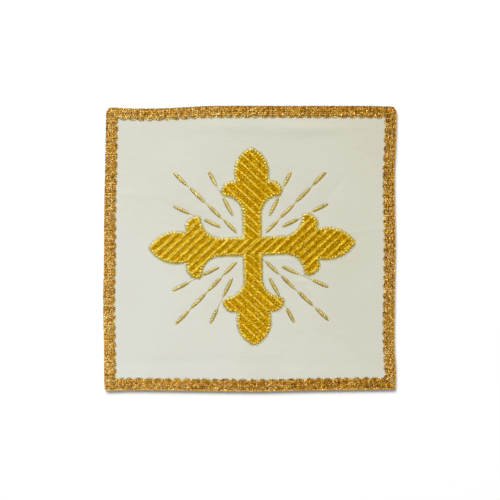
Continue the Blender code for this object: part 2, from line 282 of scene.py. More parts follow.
# Folds and puckers of the cloth: middle from the middle of the cross, direction in degrees,
# length, width, height, bend
PUCKERS = (
    (31.5 + 65.0j, 1, 38.0, 6.5, 0.55, 0.0),
    (-6.0 + 66.0j, 1, 60.0, 5.5, 0.24, 0.0),
    (-45.0 - 64.0j, 1, 80.0, 6.5, -0.2, 0.0),
    (30.0 - 65.5j, 0, 60.0, 5.5, -0.12, 0.0),
    (-68.0 + 29.0j, 0, 26.0, 5.0, 0.16, 0.0),
    (64.0 + 8.8j, 8, 26.0, 1.9, 0.13, 0.003),
    (27.6 - 19.2j, 4, 7.5, 1.9, 0.3, 0.02),
    (21.0 - 6.8j, -6, 13.0, 2.6, 0.2, 0.02),
    (31.0 - 23.5j, -32, 18.0, 3.6, 0.2, 0.0),
    (-27.0 + 20.2j, 6, 10.0, 2.6, 0.14, 0.0),
    (47.0 + 33.0j, 52, 22.0, 3.6, -0.16, 0.0),
    (48.0 - 45.0j, -48, 40.0, 8.0, 0.10, 0.0),
    (62.0 - 38.0j, -58, 40.0, 5.0, -0.09, 0.0),
    (-50.0 + 44.0j, 38, 40.0, 9.0, 0.08, 0.0),
    (70.0 + 62.0j, -40, 16.0, 5.0, -0.16, 0.0),
)

# Materials: colours of the metal threads from dark to light
# the braid's palest stop is the colour of its painted glints
BRAID_STOPS = ((0.0, (0.3, 0.125, 0.006)), (0.5, (0.78, 0.41, 0.048)),
               (0.85, (1.0, 0.78, 0.31)), (1.0, (1.0, 0.85, 0.42)))
STITCH_STOPS = ((0.0, (0.48, 0.25, 0.0)), (0.5, (0.78, 0.46, 0.0)), (1.0, (1.0, 0.82, 0.12)))
# the raised rib stitches get a paler copy of the embroidery's colours, a painted highlight on the
# ribs
RIB_HIGHLIGHT_STOPS = ((0.0, (0.5, 0.3, 0.0)), (0.5, (0.85, 0.57, 0.01)), (1.0, (1.0, 0.86, 0.19)))
RIM_STOPS = ((0.0, (0.5, 0.34, 0.02)), (0.5, (0.8, 0.6, 0.085)), (1.0, (0.96, 0.87, 0.36)))
RAY_STOPS = ((0.0, (0.46, 0.34, 0.08)), (0.55, (0.68, 0.52, 0.14)), (1.0, (1.0, 0.88, 0.42)))
# for each metal thread: its colours, roughness, size of a cell of foil, how much the cells differ
# in tilt and in shade (the shade partly painted glints and shade of the foil), how mottled the
# thread is, how much the hue varies
METAL_THREADS = {
    "braid_gold": (BRAID_STOPS, 0.28, 0.8, 0.85, 0.5, 0.3, 0.02),
    "embroidery_gold": (STITCH_STOPS, 0.34, 0.5, 0.3, 0.35, 0.3, 0.02),
    "rib_gold_highlight": (RIB_HIGHLIGHT_STOPS, 0.34, 0.5, 0.3, 0.35, 0.25, 0.02),
    "rim_gold": (RIM_STOPS, 0.36, 0.5, 0.4, 0.4, 0.3, 0.02),
    "ray_gold": (RAY_STOPS, 0.36, 0.5, 0.4, 0.3, 0.4, 0.03),
}
# length of one turn of foil round a thread, and its relief
FOIL_TURN = 0.42
FOIL_RELIEF = 0.04
# the cloth from its palest, coolest to its darkest, warmest tone; its drift for each metre right
# and back is painted shade
CLOTH_STOPS = ((0.0, (0.707, 0.718, 0.657)), (1.0, (0.567, 0.544, 0.417)))
CLOTH_PAINTED_SHADE_DRIFT = (2.9, 1.5)
# its weave: pitch of the threads each way, and their relief
WARP_PITCH = 0.34
WEFT_PITCH = 0.37
CLOTH_RELIEF = 0.07

# Studio, in metres but for the lens and its sensor: a camera straight above, and one large soft
# light above and behind the top edge
CAMERA_PLACE = (0.000127, -0.00083, 1.2)
CAMERA_LENS = 156.3
SENSOR_WIDTH = 36.0
CAMERA_REACH = 10.0
LIGHT_PLACE = (-1.15, 2.75, 4.2)
LIGHT_SIZE = 2.6
LIGHT_WATTS = 252.0
SKY_STRENGTH = 0.33
FLOOR_REACH = 3.0


def mesh_piece(name, points, quads, ends, data, material):
    """A mesh from points in millimetres, with its per-point data, riding on the part."""
    mesh = bpy.data.meshes.new(name)
    mesh.vertices.add(len(points))
    mesh.vertices.foreach_set("co", (points * MM).astype(np.float32).ravel())
    faces = [quads, *ends]
    loops = np.concatenate([part.ravel() for part in faces])
    sizes = np.concatenate([np.full(len(part), part.shape[1]) for part in faces])
    mesh.loops.add(len(loops))
    mesh.loops.foreach_set("vertex_index", loops.astype(np.int32))
    mesh.polygons.add(len(sizes))
    starts = np.concatenate([[0], np.cumsum(sizes)[:-1]])
    mesh.polygons.foreach_set("loop_start", starts.astype(np.int32))
    mesh.update(calc_edges=True)
    mesh.polygons.foreach_set("use_smooth", np.ones(len(sizes), bool))
    for key, values in data.items():
        kind, field = ("FLOAT", "value") if values.ndim == 1 else ("FLOAT_VECTOR", "vector")
        attribute = mesh.attributes.new(key, kind, "POINT")
        attribute.data.foreach_set(field, values.astype(np.float32).ravel())
    mesh.materials.append(material)
    piece = bpy.data.objects.new(name, mesh)
    bpy.context.scene.collection.objects.link(piece)
    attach(piece, "root")
    return piece


def raised(place, height):
    """Points from places on the face and their heights."""
    return np.stack([place.real, place.imag, np.broadcast_to(height, place.shape)], axis=-1)


def hump(tau):
    """Rise of a stitch, from almost 0 at its ends to 1 in its middle."""
    return np.sin(math.pi * np.clip(tau, 0.001, 0.999))


def tubes(paths, wide, high, twist, shade, sides=6):
    """Points, faces and per-point data of a set of threads with equally many stations.

    paths is threads by stations by three; wide, high and twist give the section of each
    station, as half sizes and an angle, and shade is one number a thread or one a station.
    The data are each point's shade with the painted light drift added, and its place along and
    round its thread.
    """
    count, stations, _ = paths.shape
    along = np.gradient(paths, axis=1)
    length = np.linalg.norm(np.diff(paths, axis=1), axis=2)
    run = np.concatenate([np.zeros((count, 1)), np.cumsum(length, axis=1)], axis=1)
    along /= np.linalg.norm(along, axis=2, keepdims=True)
    across = np.cross(along, (0.0, 0.0, 1.0))
    across /= np.maximum(np.linalg.norm(across, axis=2, keepdims=True), 1e-6)
    up = np.cross(across, along)
    turn = np.arange(sides) * math.tau / sides
    wide, high, twist = (np.broadcast_to(size, (count, stations))[..., None]
                         for size in (wide, high, twist))
    flat_x, flat_y = wide * np.cos(turn), high * np.sin(turn)
    local_x = flat_x * np.cos(twist) - flat_y * np.sin(twist)
    local_y = flat_x * np.sin(twist) + flat_y * np.cos(twist)
    points = (paths[:, :, None, :] + across[:, :, None, :] * local_x[..., None]
              + up[:, :, None, :] * local_y[..., None])
    index = np.arange(count * stations * sides).reshape(count, stations, sides)
    near, far = index[:, :-1], index[:, 1:]
    quads = np.stack([near, np.roll(near, -1, 2), np.roll(far, -1, 2), far], axis=-1)
    ends = [index[:, 0, ::-1], index[:, -1]]
    data = {
        # each point's shade gets the painted light drift, paler to the left and the front
        "shade": (np.asarray(shade).reshape(count, -1, 1) + PAINTED_LIGHT_DRIFT.real * points[..., 0]
                  + PAINTED_LIGHT_DRIFT.imag * points[..., 1]).ravel(),
        "thread": np.stack(np.broadcast_arrays(run[..., None], turn, 0.0), axis=-1).reshape(-1, 3),
    }
    return points.reshape(-1, 3), quads.reshape(-1, 4), ends, data


def thread_piece(name, groups, material):
    """One piece out of several sets of threads."""
    points, quads, ends, data, first = [], [], [], [], 0
    for group in groups:
        p, q, e, d = tubes(*group)
        points.append(p)
        quads.append(q + first)
        ends += [part + first for part in e]
        data.append(d)
        first += len(p)
    joined = {key: np.concatenate([d[key] for d in data]) for key in data[0]}
    return mesh_piece(name, np.concatenate(points), np.concatenate(quads), ends, joined,
                      material)


def smooth_noise(places, wavelength, seed):
    """Soft noise from -1 to 1 along a run of places, the same each time."""
    own = np.random.default_rng(seed)
    total = np.zeros_like(places)
    for k in range(5):
        rate = math.tau / (wavelength * (0.6 + 0.35 * k))
        total += np.sin(places * rate + own.uniform(0, math.tau))
    return total / 3


def stray(side, place):
    """How far a side's edge lies outside the plain square, at places along the side."""
    xs, ys = np.array(EDGE_STRAY[side]).T
    place = np.clip(place, xs[0], xs[-1])
    k = np.clip(np.searchsorted(xs, place) - 1, 0, len(xs) - 2)
    before, after = np.maximum(k - 1, 0), np.minimum(k + 2, len(xs) - 1)
    run = xs[k + 1] - xs[k]
    slope0 = (ys[k + 1] - ys[before]) / (xs[k + 1] - xs[before])
    slope1 = (ys[after] - ys[k]) / (xs[after] - xs[k])
    t = (place - xs[k]) / run
    bend = run * (slope0 * t * (1 - t) ** 2 - slope1 * t * t * (1 - t))
    return ys[k] + (ys[k + 1] - ys[k]) * t * t * (3 - 2 * t) + bend


def side_reach(index, end):
    """How far a side's edge lies from the middle of the square, at one of its ends."""
    name, _, half, _ = SIDES[index % 4]
    return half + float(stray(name, end))


def side_ends(index, x):
    """How far the side runs from its middle, on the side of the middle that x is on."""
    return np.where(x > 0, side_reach(index + 1, -1), side_reach(index - 1, 1))


def side_span(index, margin=0.0):
    """First and last place along a side, less a margin at both its ends."""
    return margin - side_reach(index - 1, 1), side_reach(index + 1, -1) - margin


def edge_place(index, t, inset):
    """Places beside one side: t along it from -1 to 1, inset in from its outer edge."""
    name, outward, half, end_radius = SIDES[index]
    along = SIDES[(index + 1) % 4][1]
    reach = side_ends(index, t)
    radius = np.where(t > 0, end_radius, SIDES[index - 1][3])
    x = np.abs(t) * (reach - inset)
    out = half + stray(name, np.sign(t) * x / side_reach(index + 1, -1)) - inset
    bow = np.maximum(radius - inset, 1e-6)
    turn = np.clip((x - (reach - radius)) / bow, 0, 1) * math.pi / 4
    round_it = (radius > inset) & (turn > 0)
    x = np.where(round_it, reach - radius + bow * np.sin(turn), x)
    out = np.where(round_it, out - bow * (1 - np.cos(turn)), out)
    return along * np.sign(t) * x + outward * out


def outline_centre():
    """Middle of the box round the outline, which becomes the frame's origin."""
    t = np.linspace(-1, 1, 400)
    edge = np.concatenate([edge_place(i, t, np.zeros_like(t)) for i in range(4)])
    return complex((edge.real.min() + edge.real.max()) / 2, (edge.imag.min() + edge.imag.max()) / 2)


CENTRE = outline_centre()


def scallop(index, x):
    """Swell of the braid's inner edge along a side, from 0 between lumps to 1."""
    spacing, dip = BRAID_SIDES[index][:2]
    lump = (x - dip) / spacing + 0.08 * smooth_noise(x, 9, 31 + index)
    return np.abs(np.sin(math.pi * lump)) ** 0.9


def braid_height(inset, reach):
    """Height of the braid's crowned face at an inset, where the braid is reach wide."""
    across = 2 * inset / reach - 1
    return CLOTH_TOP + BRAID_LOW + BRAID_CROWN * (1 - np.clip(np.abs(across), 0, 1) ** 3)


def line_shade(index, inset):
    """Pale and dark lines that run along the braid on one side, and its outer edge painted lighter
    or darker as painted light.
    """
    pale, dark, strength, edge, _ = BRAID_LINES[index]
    lines = (np.exp(-((inset - pale) / LINE_WIDTH) ** 2)
             - np.exp(-((inset - dark) / LINE_WIDTH) ** 2))
    return strength * lines + edge * np.exp(-(inset / EDGE_SHADE_WIDTH) ** 2)


def painted_glints(index, x, inset):
    """Painted glints: how much paler one side of the braid is painted where its foil would catch
    the light.
    """
    first, last = side_span(index)
    count = round((last - first) * BRAID_LINES[index][4])
    places = random.uniform(first, last, count)
    insets = random.uniform(0.4, BRAID_SIDES[index][2] + 0.3, count)
    bright = random.uniform(0.3, 0.9, count)
    glow = np.zeros(inset.shape)
    for place, depth, strength in zip(places, insets, bright):
        glow += strength * np.exp(-(((x - place) ** 2 + (inset - depth) ** 2) / PAINTED_GLINT_RADIUS ** 2))
    return glow


def cross_threads(index):
    """Threads across the braid on one side, over and under the lengthwise ones."""
    _, _, width, tone, uneven, tip_shade = BRAID_SIDES[index]
    x = np.arange(*side_span(index, ROW_MARGIN), CROSS_PITCH)
    odd = np.arange(len(x))[:, None] % 2
    x = (x + random.normal(0, 0.05, len(x)))[:, None]
    swell = scallop(index, x)
    reach = width + SCALLOP_REACH * swell + random.normal(0, 0.1, x.shape)
    end = np.minimum(reach, side_ends(index, x) - np.abs(x))
    start = np.minimum(BRAID_START + random.uniform(0, 0.12, x.shape), end - 0.1)
    inset = start + (end - start) * np.linspace(0, 1, CROSS_STATIONS)
    lean = LEAN * smooth_noise(x, 5, 61 + index) * (inset - LEAN_INSET) / LEAN_INSET
    line = np.clip((x + lean) / (side_ends(index, x) - inset), -1, 1)
    place = edge_place(index, line, inset) - CENTRE
    weave = np.cos(math.pi * ((inset - LENGTHWISE_INSETS[0]) / LENGTHWISE_PITCH + odd))
    height = braid_height(inset, reach) + WEAVE_RISE * weave + random.normal(0, 0.03, x.shape)
    phase = np.repeat(random.uniform(0, 500, (len(x) + 1) // 2), 2)[:len(x), None]
    grain = smooth_noise(inset + phase, THREAD_GRAIN, 51)
    near_end = np.exp(-((inset - reach) / TIP_SHADE_WIDTH) ** 2)
    # shade: the side's tone, which is painted light, its grain, painted light on the weave's crests
    # and dips, painted glints, the lines and the painted edge, and the inner edge's dips and tips
    shade = (random.normal(tone, 0.1, x.shape) + uneven * grain + WEAVE_PAINTED_LIGHT * weave
             + PAINTED_GLINT * np.maximum(grain - PAINTED_GLINT_FROM, 0)
             + line_shade(index, inset) + painted_glints(index, x, inset)
             + near_end * (DIP_SHADE + (tip_shade - DIP_SHADE) * swell ** 2))
    turns = inset * math.tau / random.uniform(*TWIST_LENGTH, x.shape)
    twist = turns + random.uniform(0, math.tau, x.shape)
    return place, height, shade, *CROSS_SECTION, twist


def fringe_threads(index):
    """Fine pale ends of thread that stand out past the braid's inner edge."""
    x = np.arange(*side_span(index, FRINGE_FREE), FRINGE_PITCH)
    x = (x + random.normal(0, 0.08, len(x)))[:, None]
    reach = BRAID_SIDES[index][2] + SCALLOP_REACH * scallop(index, x)
    length = FRINGE_ROOT + random.uniform(0.1, FRINGE_REACH, x.shape)
    inset = reach - FRINGE_ROOT + length * np.linspace(0, 1, 5)
    slope = random.normal(0, 0.3, x.shape)
    line = (x + slope * (inset - reach)) / (side_ends(index, x) - inset)
    place = edge_place(index, line, inset) - CENTRE
    height = CLOTH_TOP + 0.12 + 0.2 * np.clip((reach - inset) / FRINGE_ROOT + 0.4, 0, 1)
    shade = random.normal(*FRINGE_SHADE, x.shape)
    return place, height, shade, *FRINGE_SECTION, 0.0


def lengthwise_threads(index):
    """Threads along the braid on one side, where the cross threads go over and under."""
    width, tone = BRAID_SIDES[index][2:4]
    difference, uneven = LENGTHWISE_SHADE
    t = np.linspace(-1, 1, LENGTHWISE_STATIONS)
    inset = np.array(LENGTHWISE_INSETS)[:, None] + 0 * t
    x = t * (side_ends(index, t) - inset)
    place = edge_place(index, np.broadcast_to(t, inset.shape), inset) - CENTRE
    row = (x + side_reach(index - 1, 1) - ROW_MARGIN) / CROSS_PITCH
    reach = width + SCALLOP_REACH * scallop(index, x)
    height = braid_height(inset, reach) - WEAVE_RISE * np.cos(math.pi * row)
    grain = smooth_noise(x + 40 * inset, THREAD_GRAIN, 57)
    shade = tone + difference + uneven * grain + line_shade(index, inset)
    return place, height, shade, *LENGTHWISE_SECTION, 0.0


def edge_cord(index):
    """Two plies twisted round each other along the braid's outer edge, on one side."""
    t = np.linspace(-1, 1, EDGE_CORD_STATIONS)
    length = (PALL_WIDTH + PALL_DEPTH) / 2
    uneven = 0.04 * smooth_noise(t * length, 3, index)
    plies = []
    for ply in range(2):
        turn = t * length / 2 * math.tau / EDGE_CORD_TWIST + ply * math.pi
        place = edge_place(index, t, EDGE_CORD_INSET + EDGE_CORD_RADIUS * np.cos(turn)) - CENTRE
        height = CLOTH_TOP + EDGE_CORD_RISE + EDGE_CORD_RADIUS * np.sin(turn) + uneven
        plies.append(raised(place, height))
    # painted light: the side's painted edge shade and the braid's painted light drift
    tone = EDGE_CORD_SHADE + BRAID_LINES[index][3] + BRAID_PAINTED_LIGHT_DRIFT * place.real
    # each ply's shade wanders along it; its pale runs are painted glints
    shade = [tone + 0.5 * smooth_noise(t * length, 5, 70 + 2 * index + ply) for ply in range(2)]
    return np.array(plies), *PLY_SECTION, 0.0, np.clip(shade, 0.15, 1), 5


def tucked(place, height, shade, wide, high, twist):
    """A set of threads with the braid's painted light drift, pressed down in the tucks at the
    corners and painted darker there as shade.
    """
    shade = shade + BRAID_PAINTED_LIGHT_DRIFT * place.real
    for middle, radius, depth in TUCKS:
        near = depth * np.exp(-(np.abs(place - middle) / radius) ** 2)
        # painted shade in the fold of a tuck
        shade = shade - near
        height = np.maximum(height - TUCK_DROP * near, CLOTH_TOP + CORE_RISE)
    return raised(place, height), wide, high, twist, np.clip(shade, 0, 1), 4


def core_threads(index):
    """Dark threads below the weave on one side, which fill the gaps in it with painted shade."""
    t = np.linspace(-1, 1, CORE_STATIONS)
    groups = []
    for inset in np.arange(CORE_START, BRAID_SIDES[index][2] - CORE_MARGIN, CORE_PITCH):
        place = edge_place(index, t, np.full_like(t, inset)) - CENTRE
        path = raised(place, CLOTH_TOP + CORE_RISE)[None]
        groups.append((path, *CORE_SECTION, 0.0, [CORE_PAINTED_SHADE], 4))
    return groups


def braid(material):
    """The braid in four pieces, one for each side."""
    pieces = []
    for i, (name, *_) in enumerate(SIDES):
        groups = [tucked(*cross_threads(i)), tucked(*lengthwise_threads(i)),
                  tucked(*fringe_threads(i)), edge_cord(i)]
        piece = thread_piece("braid_" + name, groups + core_threads(i), material)
        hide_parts("braid")
        pieces.append(piece)
    return pieces


def towards(start, end):
    """Direction from one point to another."""
    return cmath.phase(end - start)


def meeting_point(centre_a, radius_a, centre_b, radius_b):
    """Where two circles meet, on the left of the line between their centres."""
    line = centre_b - centre_a
    gap = abs(line)
    along = (gap * gap + radius_a * radius_a - radius_b * radius_b) / (2 * gap)
    unit = line / gap
    return centre_a + unit * along + unit * 1j * math.sqrt(radius_a * radius_a - along * along)


def arm_arcs(lobe_radius, leaf_half_width, leaf_radius, leaf_middle):
    """Right half of an arm that points up, from the cross's middle to the arm's tip.

    Each arc is its centre, radius, first and last direction, and if it bulges outwards.
    """
    lobe = LOBE_CENTRE
    lobe_tip = lobe + cmath.rect(lobe_radius - LOBE_TIP_RADIUS, LOBE_TIP_DIRECTION)
    curl_x = ARM_HALF_WIDTH + CURL_RADIUS
    drop = math.sqrt((CURL_RADIUS + LOBE_TIP_RADIUS) ** 2 - (curl_x - lobe_tip.real) ** 2)
    curl = complex(curl_x, lobe_tip.imag - drop)
    leaf = complex(leaf_half_width - leaf_radius, leaf_middle)
    tip_reach = math.sqrt((leaf_radius - LEAF_TIP_RADIUS) ** 2 - leaf.real ** 2)
    leaf_tip = complex(0, leaf.imag + tip_reach)
    notch = meeting_point(leaf, leaf_radius + NOTCH_RADIUS, lobe, lobe_radius + NOTCH_RADIUS)
    return (
        (curl, CURL_RADIUS, math.pi, towards(curl, lobe_tip), False),
        (lobe_tip, LOBE_TIP_RADIUS, towards(lobe_tip, curl), LOBE_TIP_DIRECTION, True),
        (lobe, lobe_radius, LOBE_TIP_DIRECTION, towards(lobe, notch), True),
        (notch, NOTCH_RADIUS, towards(notch, lobe), towards(notch, leaf) - math.tau, False),
        (leaf, leaf_radius, towards(leaf, notch), towards(leaf, leaf_tip), True),
        (leaf_tip, LEAF_TIP_RADIUS, towards(leaf, leaf_tip), math.pi / 2, True),
    )


def half_arm(arcs, inset):
    """Points along an arm's right half, drawn in by the inset."""
    points = [complex(ARM_HALF_WIDTH - inset, ARM_HALF_WIDTH - inset)]
    for i, (centre, radius, first, last, bulges) in enumerate(arcs):
        steps = max(2, math.ceil(abs(last - first) / ARC_STEP))
        reach = radius - inset if bulges else radius + inset
        for step in range(min(i, 1), steps + 1):
            points.append(centre + cmath.rect(reach, first + (last - first) * step / steps))
    return points


def arm_outlines(inset):
    """Outline of the right, top, left and bottom arm, anticlockwise, drawn in by the inset."""
    outlines = []
    for degrees, lean, *sizes in ARMS:
        right = half_arm(arm_arcs(*sizes), inset)
        left = [-p.conjugate() for p in reversed(right[1:-1])]
        turn = cmath.rect(1, math.radians(degrees + lean - 90))
        outlines.append([turn * p for p in right + left])
    return outlines


def closed_loop(inset):
    """Outline of the whole cross, drawn in by the inset, with its first point again last."""
    points = np.array(sum(arm_outlines(inset), []))
    return np.append(points, points[0])


def rim_threads():
    """The satin border: strokes across the cross's edge and back, and loose ends round it."""
    outer, middle, inner = (closed_loop(inset) for inset in (-RIM_OUTSIDE, RIM_MIDDLE, RIM_WIDTH))
    run = np.concatenate([[0], np.cumsum(np.abs(np.diff(middle)))])
    cycles = round(run[-1] / RIM_CYCLE)
    pitch = run[-1] / cycles

    def place(line, s):
        s = np.mod(s, run[-1])
        return np.interp(s, run, line.real) + 1j * np.interp(s, run, line.imag)

    def strokes(outer_at, inner_at, crest, wide, high, tone, spread):
        shade = random.normal(tone, spread, cycles)
        base = np.arange(cycles) * pitch
        outside = place(outer, base + outer_at * pitch + random.normal(0, 0.07, cycles))
        inside = place(inner, base + inner_at * pitch + random.normal(0, 0.07, cycles))
        tau = np.linspace(0, 1, 9)
        reach = 1 + random.normal(0, 0.09, cycles)[:, None]
        line = inside[:, None] + (outside - inside)[:, None] * (1 - tau) * reach + CROSS_CENTRE
        rise = hump(tau)
        crests = crest + random.normal(0, 0.04, cycles)[:, None]
        paths = raised(line, CLOTH_TOP + 0.05 + 0.35 * tau + rise * crests)
        shade = np.clip(shade[:, None] - 0.4 * tau, 0, 1)
        return paths, wide * (0.5 + 0.5 * rise), high * (0.35 + 0.65 * rise), 0.0, shade

    def loose_ends():
        count = RIM_ENDS * cycles
        at = np.arange(count) * pitch / RIM_ENDS + random.normal(0, 0.12, count)
        outside, inside = place(outer, at), place(middle, at + random.normal(0, 0.3, count))
        unit = (outside - inside) / np.abs(outside - inside)
        length = random.uniform(0.15, RIM_FRINGE, count)[:, None]
        tau = np.linspace(-0.5, 1, 4)
        line = outside[:, None] + unit[:, None] * length * tau + CROSS_CENTRE
        paths = raised(line, CLOTH_TOP + 0.16 - 0.08 * np.abs(tau))
        return paths, *RIM_END_SECTION, 0.0, random.normal(*RIM_END_PALE_OVER_SHADOW, count), 4

    return [strokes(*stroke) for stroke in RIM_STROKES] + [loose_ends()]


def crossings(polygon, level, upright):
    """Sorted places where a scan line crosses a polygon."""
    a, b = polygon, np.roll(polygon, -1)
    p, q = (a.real, b.real) if upright else (a.imag, b.imag)
    r, s = (a.imag, b.imag) if upright else (a.real, b.real)
    hit = (p > level) != (q > level)
    share = (level - p[hit]) / (q[hit] - p[hit])
    return np.sort(r[hit] + (s[hit] - r[hit]) * share)


def rib_lines(ribs, low, high):
    """Numbers of the ribs between two places measured across them."""
    _, spacing, ridge = ribs
    return range(math.ceil((low - ridge) / spacing), math.floor((high - ridge) / spacing) + 1)


def fill_threads(polygon, ribs, upright):
    """Ground of the filling: threads side by side, each a few short stitches long."""
    angle, spacing, ridge = ribs
    sine, cosine = math.sin(angle), math.cos(angle)
    levels = polygon.real if upright else polygon.imag
    starts, ends = [], []
    for level in np.arange(levels.min() + 0.1, levels.max(), FILL_PITCH):
        level += random.normal(0, 0.03)
        cuts = crossings(polygon, level, upright)
        for low, high in zip(cuts[::2], cuts[1::2]):
            breaks, at = [low], low + random.uniform(*FILL_FIRST_STITCH)
            while at < high - FILL_LAST_STITCH:
                breaks.append(at)
                at += random.uniform(*FILL_STITCH)
            breaks.append(high)
            for p, q in zip(breaks, breaks[1:]):
                starts.append(complex(level, p) if upright else complex(p, level))
                ends.append(complex(level, q) if upright else complex(q, level))
    starts, ends = np.array(starts)[:, None], np.array(ends)[:, None]
    tau = np.linspace(0, 1, 6)
    line = starts + (ends - starts) * tau
    bow = random.normal(0, 0.05, len(starts))[:, None] * np.sin(math.pi * tau)
    line = line + bow * (1 if upright else 1j)
    across = (-line.real * sine + line.imag * cosine - ridge) / spacing
    ridge_share = 0.5 + 0.5 * np.cos(math.tau * across)
    room = np.minimum(tau, 1 - tau) * np.abs(ends - starts)
    dip = 0.1 * np.clip(1 - room / 0.4, 0, 1) ** 2
    jitter = random.normal(0, 0.02, len(starts))[:, None]
    height = CLOTH_TOP + FILL_RISE[0] + FILL_RISE[1] * ridge_share - dip + jitter
    # painted light: the ground is paler on the ridges and darker in the grooves
    shade = FILL_SHADE_AND_RIDGE_LIGHT[0] + FILL_SHADE_AND_RIDGE_LIGHT[1] * ridge_share ** 2
    shade = np.clip(shade + random.normal(0, 0.07, len(starts))[:, None], 0, 1)
    return raised(line + CROSS_CENTRE, height), *FILL_SECTION, 0.0, shade, 4


def ridge_stitches(polygon, ribs, rows, length, step, slant, wide, fullness, shade):
    """Raised stitches along the ribs: each a little aslant, overlapping like a cord."""
    angle, spacing, ridge = ribs
    turn = cmath.rect(1, -angle)
    turned = polygon * turn
    starts, ends = [], []
    lines = rib_lines(ribs, turned.imag.min(), turned.imag.max())
    for level in (ridge + k * spacing + row for k in lines for row in rows):
        cuts = crossings(turned, level, False)
        for low, high in zip(cuts[::2], cuts[1::2]):
            at = low + random.uniform(0, 0.4)
            wander, drift = random.normal(0, 0.1), random.normal(0, 0.15)
            while at < high - 0.4:
                stop = min(at + length * random.uniform(0.8, 1.2), high)
                wander = 0.7 * wander + 0.3 * drift + random.normal(0, 0.07)
                if random.uniform() < fullness:
                    starts.append(complex(at, level + wander - slant))
                    ends.append(complex(stop, level + wander + slant))
                at += step * random.uniform(0.85, 1.15)
    starts, ends = np.array(starts)[:, None] / turn, np.array(ends)[:, None] / turn
    tau = np.linspace(0, 1, 7)
    line = starts + (ends - starts) * tau + CROSS_CENTRE
    rise = hump(tau) ** 0.5
    height = CLOTH_TOP + 0.58 + 0.17 * rise + random.normal(0, 0.04, starts.shape)
    shade = np.clip(random.normal(shade, RAISED_SHADE_SPREAD, len(starts)), 0, 1)
    return raised(line, height), wide * (0.6 + 0.4 * rise), RAISED_HIGH, 0.0, shade, 5


def level_fill():
    """Filling of the two level arms: its ground, and raised stitches along the ribs."""
    right, top, left, bottom = (np.array(arm) for arm in arm_outlines(FILL_INSET))
    outline = np.concatenate([right, top[:1], left, bottom[:1]])
    return [fill_threads(outline, LEVEL_RIBS, True),
            ridge_stitches(outline, LEVEL_RIBS, *LEVEL_STITCHES, *LEVEL_FULLNESS_AND_HIGHLIGHT)]


def upright_outlines():
    """Outlines of the top and the bottom arm inside the rim."""
    right, top, left, bottom = (np.array(arm) for arm in arm_outlines(FILL_INSET))
    return np.concatenate([top, left[:1]]), np.concatenate([bottom, right[:1]])


def upright_fill():
    """Ground of the filling in the two upright arms."""
    return [fill_threads(outline, UPRIGHT_RIBS, False) for outline in upright_outlines()]


def upright_ribs():
    """Raised stitches of the two upright arms: along the ribs, and sparser ones between."""
    angle, spacing, ridge = UPRIGHT_RIBS
    grooves = (angle, spacing, ridge + spacing / 2)
    groups = []
    for outline, (on_ridge, in_groove) in zip(upright_outlines(), UPRIGHT_FULLNESS_AND_HIGHLIGHT):
        groups.append(ridge_stitches(outline, UPRIGHT_RIBS, *UPRIGHT_STITCHES, *on_ridge))
        groups.append(ridge_stitches(outline, grooves, *GROOVE_STITCHES, *in_groove))
    return groups


def seed_threads(inner, outer, seeds):
    """Seed stitches: short slanted turns of thread over a run laid along the ray."""
    unit = (outer - inner) / abs(outer - inner)
    starts, ends, swell, sheen = [], [], [], []
    for first, last in seeds:
        low, high = (inner + (outer - inner) * s for s in (first, last))
        length = abs(high - low)
        turns = round(length / SEED_PITCH)
        for k in range(turns):
            share = (k + 0.5) / turns
            half = SEED_HALF_WIDTH * (0.38 + 0.62 * math.sin(math.pi * share) ** 0.6)
            middle = low + unit * length * share
            slant = unit * SEED_SLANT * (half / SEED_HALF_WIDTH)
            wobble = 1 + random.normal(0, 0.06)
            starts.append(middle - slant + unit * 1j * half * wobble)
            ends.append(middle + slant - unit * 1j * half * wobble)
            swell.append(half / SEED_HALF_WIDTH)
            sheen.append(SEED_SHEEN * (-1) ** k)
    starts, ends = np.array(starts)[:, None], np.array(ends)[:, None]
    swell = np.array(swell)[:, None]
    tau = np.linspace(0, 1, 7)
    line = starts + (ends - starts) * tau + CROSS_CENTRE
    rise = hump(tau) ** 0.7
    height = CLOTH_TOP + 0.06 + (0.14 + 0.24 * swell) * rise
    paths = raised(line, height + random.normal(0, 0.03, swell.shape))
    # painted highlight and shade on alternate turns
    shade = random.normal(*SEED_SHADE, len(starts))[:, None] + np.array(sheen)[:, None] * rise
    wide, high = SEED_SECTION
    return paths, wide, high * (0.4 + 0.6 * rise), 0.0, np.clip(shade, 0, 1), 5


def plain_thread(points, wide):
    """A thin thread along the cloth through a few points."""
    points = np.array(points) + CROSS_CENTRE
    t = np.linspace(0, len(points) - 1, 12 * len(points))
    x = np.interp(t, np.arange(len(points)), points.real)
    y = np.interp(t, np.arange(len(points)), points.imag)
    path = raised(x + 1j * y, CLOTH_TOP + THREAD_RISE)[None]
    return path, wide, THREAD_HIGH, 0.0, [THREAD_SHADE], 5


def rays(material):
    """The twelve rays, each a piece of seed stitches and the thread between them."""
    pieces = []
    for quarter, kind, inner, outer in RAYS:
        run = THREAD_RUNS.get(f"{quarter}_{kind}", (0.0, 1.0))
        thread = plain_thread([inner + (outer - inner) * share for share in run], THREAD_WIDE[kind])
        groups = [seed_threads(inner, outer, SEEDS[kind]), thread]
        piece = thread_piece(f"ray_{quarter}_{kind}", groups, material)
        count = 1 if kind == "middle" else 2
        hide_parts(*(f"ray_{quarter}_{kind}_{n}" for n in range(1, count + 1)))
        pieces.append(piece)
    return pieces


def grid_lines(low, high):
    """Lines across the cloth: close together at its two round edges, even between."""
    edge = CLOTH_EDGE_RADIUS * (1 - np.cos(np.linspace(0, math.pi / 2, 6)))
    even = np.linspace(low + edge[-1], high - edge[-1],
                       round((high - low - 2 * edge[-1]) / CLOTH_GRID) + 1)[1:-1]
    return np.concatenate([low + edge, even, high - edge[::-1]])


